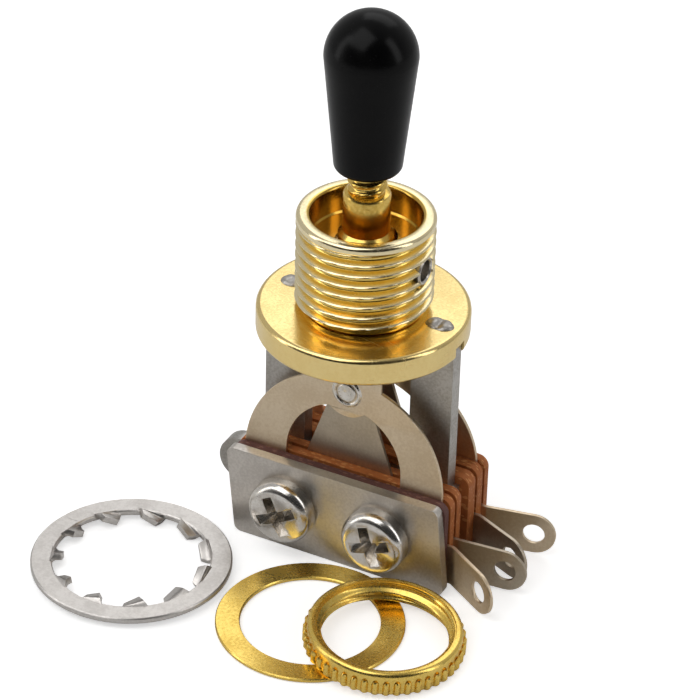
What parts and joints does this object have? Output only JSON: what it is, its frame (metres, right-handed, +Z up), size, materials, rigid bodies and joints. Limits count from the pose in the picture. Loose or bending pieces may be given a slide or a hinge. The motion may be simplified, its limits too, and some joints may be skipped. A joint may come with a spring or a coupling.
{
  "type": "lever switch",
  "caption": "Three-way lever switch with a gold threaded bushing, leaf contacts in a screwed stack, solder lugs, and loose nut and washers.",
  "frame": {"origin": "on the bushing's axis at the flange's upper face", "axes": "+Z up the bushing towards the lever's tip, +X towards the solder lugs, -Y towards the screw heads"},
  "size_m": [0.0412, 0.0325, 0.0524],
  "materials": {
    "gold": "gold plated, bright",
    "tip_black": "black moulded plastic, satin gloss",
    "pin_steel": "plain steel pin",
    "cam_nylon": "natural nylon",
    "frame_steel": "dull nickel over steel",
    "clamp_nickel": "satin nickel plate",
    "screw_nickel": "bright nickel plate",
    "fibre": "red-brown vulcanised fibre",
    "fibre_front": "dark purple-brown vulcanised fibre",
    "blade_silver": "nickel silver spring strip",
    "contact_silver": "silver contact rivet",
    "sleeve_fibre": "insulating tube",
    "washer_steel": "bright spring steel",
    "washer_gold": "gold plated, saturated"
  },
  "bodies": {
    "root": {"threaded_bushing": "gold", "support_frame": "frame_steel", "front_clamp_plate": "clamp_nickel", "rear_clamp_plate": "clamp_nickel", "screw_left": "screw_nickel", "screw_right": "screw_nickel", "left_screw_sleeve": "sleeve_fibre", "right_screw_sleeve": "sleeve_fibre", "front_outer_blade": "blade_silver", "front_inner_blade": "blade_silver", "front_inner_contact": "contact_silver", "insulator_front_inner": "fibre", "insulator_front_middle": "fibre", "insulator_front_outer": "fibre_front", "rear_outer_blade": "blade_silver", "rear_inner_blade": "blade_silver", "rear_inner_contact": "contact_silver", "insulator_rear_inner": "fibre", "insulator_rear_middle": "fibre", "insulator_rear_outer": "fibre"},
    "cross_pin": {"pivot_pin": "pin_steel"},
    "lever": {"toggle_lever": "gold", "lever_tip": "tip_black", "lever_cam": "cam_nylon"},
    "front_contact": {"front_outer_contact": "contact_silver"},
    "rear_contact": {"rear_outer_contact": "contact_silver"},
    "loose_lock_washer": {"lock_washer": "washer_steel"},
    "loose_flat_washer": {"flat_washer": "washer_gold"},
    "loose_nut": {"knurled_nut": "washer_gold"}
  },
  "joints": [
    {"name": "throw_to_front", "type": "hinge", "parent": "root", "child": "cross_pin", "pos_m": [0, 0, 0.0049], "axis": [1, 0, 0], "range_deg": [0, 13]},
    {"name": "throw_to_rear", "type": "hinge", "parent": "cross_pin", "child": "lever", "pos_m": [0, 0, 0.0049], "axis": [1, 0, 0], "range_deg": [-13, 0]},
    {"name": "rear_blade_flex", "type": "hinge", "parent": "root", "child": "rear_contact", "pos_m": [0, 0.0036, -0.0119], "axis": [1, 0, 0], "range_deg": [-15, 0], "deforming": ["rear_outer_blade"]},
    {"name": "front_blade_flex", "type": "hinge", "parent": "root", "child": "front_contact", "pos_m": [0, -0.0029, -0.0119], "axis": [1, 0, 0], "range_deg": [0, 15], "deforming": ["front_outer_blade"]},
    {"name": "lock_washer_away", "type": "slide", "parent": "root", "child": "loose_lock_washer", "axis": [0, -1, 0], "range_m": [0, 0.03]},
    {"name": "flat_washer_away", "type": "slide", "parent": "root", "child": "loose_flat_washer", "axis": [0, -1, 0], "range_m": [0, 0.03]},
    {"name": "nut_away", "type": "slide", "parent": "loose_flat_washer", "child": "loose_nut", "axis": [0, -0.6, 0.8], "range_m": [0, 0.03]}
  ],
  "couplings": [
    {"joint": "rear_blade_flex", "follows": "throw_to_front", "ratio": -1.1},
    {"joint": "front_blade_flex", "follows": "throw_to_rear", "ratio": -1.1}
  ]
}
